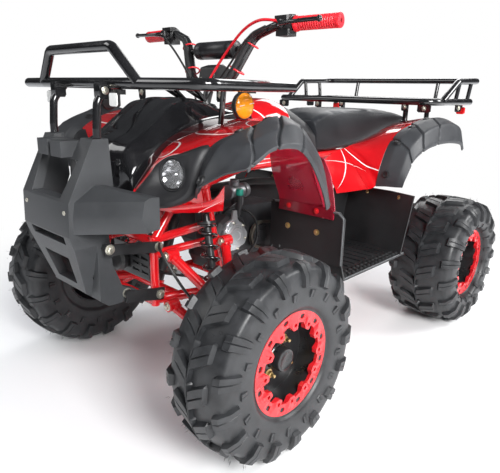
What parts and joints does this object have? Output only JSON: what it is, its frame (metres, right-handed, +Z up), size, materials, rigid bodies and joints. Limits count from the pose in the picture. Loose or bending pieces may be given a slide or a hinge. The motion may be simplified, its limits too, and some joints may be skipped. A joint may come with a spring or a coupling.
{
  "type": "utility quad bike",
  "caption": "Four-wheeled off-road quad bike with saddle seat, handlebar steering, tube racks, moulded bumper, wide fenders and knobby tyres.",
  "frame": {"origin": "on the ground, under the middle of the overall box", "axes": "+X to the rider's left, +Y to the rear, +Z up"},
  "size_m": [0.981, 1.541, 0.977],
  "materials": {
    "red_paint": "gloss red powder coat",
    "black_paint": "satin black powder coat",
    "black_plastic": "matt moulded plastic with a fine grain",
    "gloss_black": "gloss black moulded plastic",
    "red_gloss": "gloss red moulded plastic",
    "seat_vinyl": "black vinyl with a fine grain",
    "engine_black": "black painted casting",
    "cast_silver": "cast aluminium",
    "soft_black": "foam rubber sleeve",
    "red_rubber": "red ribbed rubber",
    "spring_black": "satin black coil spring",
    "red_clear": "clear red moulded plastic",
    "lamp_chrome": "clear lens over a faceted bright reflector",
    "amber_lens": "amber prismatic lens",
    "white_lens": "clear prismatic lens",
    "red_lens": "red prismatic lens",
    "exhaust_black": "matt black heat-proof paint",
    "cast_steel": "black painted steel",
    "zinc": "zinc plated steel",
    "tyre": "black rubber"
  },
  "bodies": {
    "chassis": {"frame": "red_paint", "upper_arms": "red_paint", "lower_arms": "red_paint", "front_shocks": "spring_black", "swingarm": "black_paint", "rear_shock": "spring_black", "chain": "cast_steel", "front_rack": "black_paint", "rear_rack": "black_paint", "front_bumper": "black_plastic", "bumper_brackets": "black_paint", "nose_cowl": "gloss_black", "front_fenders": "red_gloss", "front_flares": "black_plastic", "rear_flares": "black_plastic", "rear_fenders": "red_gloss", "seat": "seat_vinyl", "tank_cover": "red_gloss", "footwells": "black_plastic", "side_bars": "red_paint", "splash_panels": "red_clear", "lamp_pods": "black_plastic", "headlamps": "lamp_chrome", "amber_reflectors": "amber_lens", "front_reflectors": "white_lens", "rear_reflectors": "red_lens", "engine": "engine_black", "engine_cover": "cast_silver", "carburettor": "cast_silver", "muffler": "exhaust_black"},
    "steering": {"steering_stem": "black_paint", "handlebar": "black_paint", "bar_pad": "soft_black", "grips": "red_rubber", "controls": "black_paint", "dash_box": "black_plastic"},
    "knuckle_l": {"knuckle_l": "cast_steel"},
    "knuckle_r": {"knuckle_r": "cast_steel"},
    "tie_rod_l": {"tie_rod_l": "zinc"},
    "tie_rod_r": {"tie_rod_r": "zinc"},
    "wheel_fl": {"tyre_fl": "tyre", "rim_fl": "black_paint", "ring_fl": "red_gloss"},
    "wheel_fr": {"tyre_fr": "tyre", "rim_fr": "black_paint", "ring_fr": "red_gloss"},
    "rear_axle": {"rear_axle": "cast_steel", "rear_tyres": "tyre", "rear_rims": "black_paint", "rear_rings": "red_gloss"}
  },
  "joints": [
    {"name": "steer", "type": "hinge", "parent": "chassis", "child": "steering", "pos_m": [0, -0.4725, 0.302], "axis": [0, 0.3482, 0.9374], "range_deg": [-25, 25]},
    {"name": "kingpin_l", "type": "hinge", "parent": "chassis", "child": "knuckle_l", "pos_m": [0.3, -0.4695, 0.238], "axis": [0, 0, 1], "range_deg": [-25, 25]},
    {"name": "kingpin_r", "type": "hinge", "parent": "chassis", "child": "knuckle_r", "pos_m": [-0.3, -0.4695, 0.238], "axis": [0, 0, 1], "range_deg": [-25, 25]},
    {"name": "tie_l", "type": "hinge", "parent": "steering", "child": "tie_rod_l", "pos_m": [0.026, -0.3995, 0.313], "axis": [0, 0.3482, 0.9374], "range_deg": [-25, 25]},
    {"name": "tie_r", "type": "hinge", "parent": "steering", "child": "tie_rod_r", "pos_m": [-0.026, -0.3995, 0.313], "axis": [0, 0.3482, 0.9374], "range_deg": [-25, 25]},
    {"name": "spin_fl", "type": "hinge", "parent": "knuckle_l", "child": "wheel_fl", "pos_m": [0.398, -0.4695, 0.238], "axis": [1, 0, 0], "continuous": true},
    {"name": "spin_fr", "type": "hinge", "parent": "knuckle_r", "child": "wheel_fr", "pos_m": [-0.398, -0.4695, 0.238], "axis": [1, 0, 0], "continuous": true},
    {"name": "spin_rear", "type": "hinge", "parent": "chassis", "child": "rear_axle", "pos_m": [0, 0.5435, 0.226], "axis": [1, 0, 0], "continuous": true}
  ],
  "couplings": [
    {"joint": "kingpin_l", "follows": "steer", "ratio": 1},
    {"joint": "kingpin_r", "follows": "steer", "ratio": 1},
    {"joint": "tie_l", "follows": "steer", "ratio": -1},
    {"joint": "tie_r", "follows": "steer", "ratio": -1}
  ]
}
